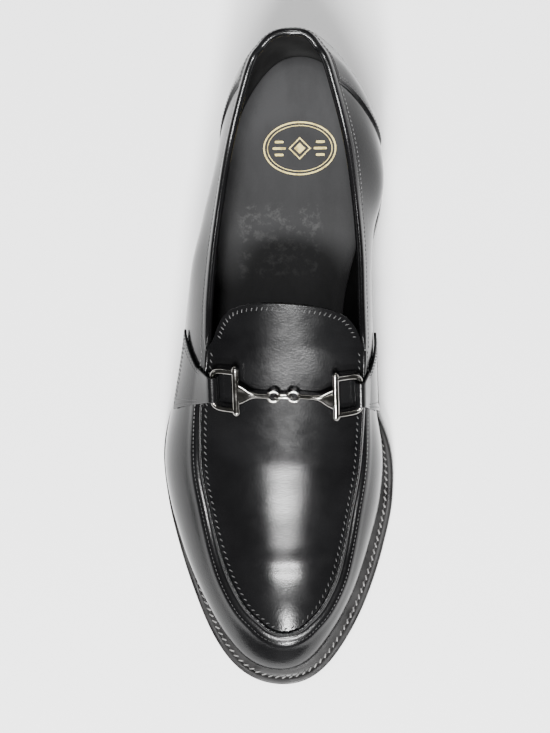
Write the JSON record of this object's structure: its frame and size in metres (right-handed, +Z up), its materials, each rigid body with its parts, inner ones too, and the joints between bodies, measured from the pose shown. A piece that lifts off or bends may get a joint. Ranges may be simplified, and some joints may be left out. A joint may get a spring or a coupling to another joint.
{
  "type": "bit loafer",
  "caption": "Black leather slip-on loafer with a raised apron seam, a steel snaffle bit held in side straps, a stitched welt and a low stacked heel",
  "frame": {"origin": "middle of the shoe's box, on the floor plane", "axes": "+Z up, -Y towards the toe, +X towards the big-toe side of this right shoe"},
  "size_m": [0.1098, 0.3, 0.088],
  "materials": {
    "upper_leather": "polished black calf",
    "sole_leather": "black stained and waxed edge",
    "sock": "matt black lining leather",
    "rubber": "matt",
    "bit_steel": "polished gunmetal"
  },
  "bodies": {
    "root": {"outsole": "sole_leather", "top_lift": "rubber", "heel_stack": "sole_leather", "welt": "sole_leather", "insole": "sock", "upper": "upper_leather", "strap_lateral": "upper_leather", "strap_medial": "upper_leather", "bit_lateral": "bit_steel", "bit_medial": "bit_steel", "bit_link": "bit_steel"}
  },
  "joints": []
}
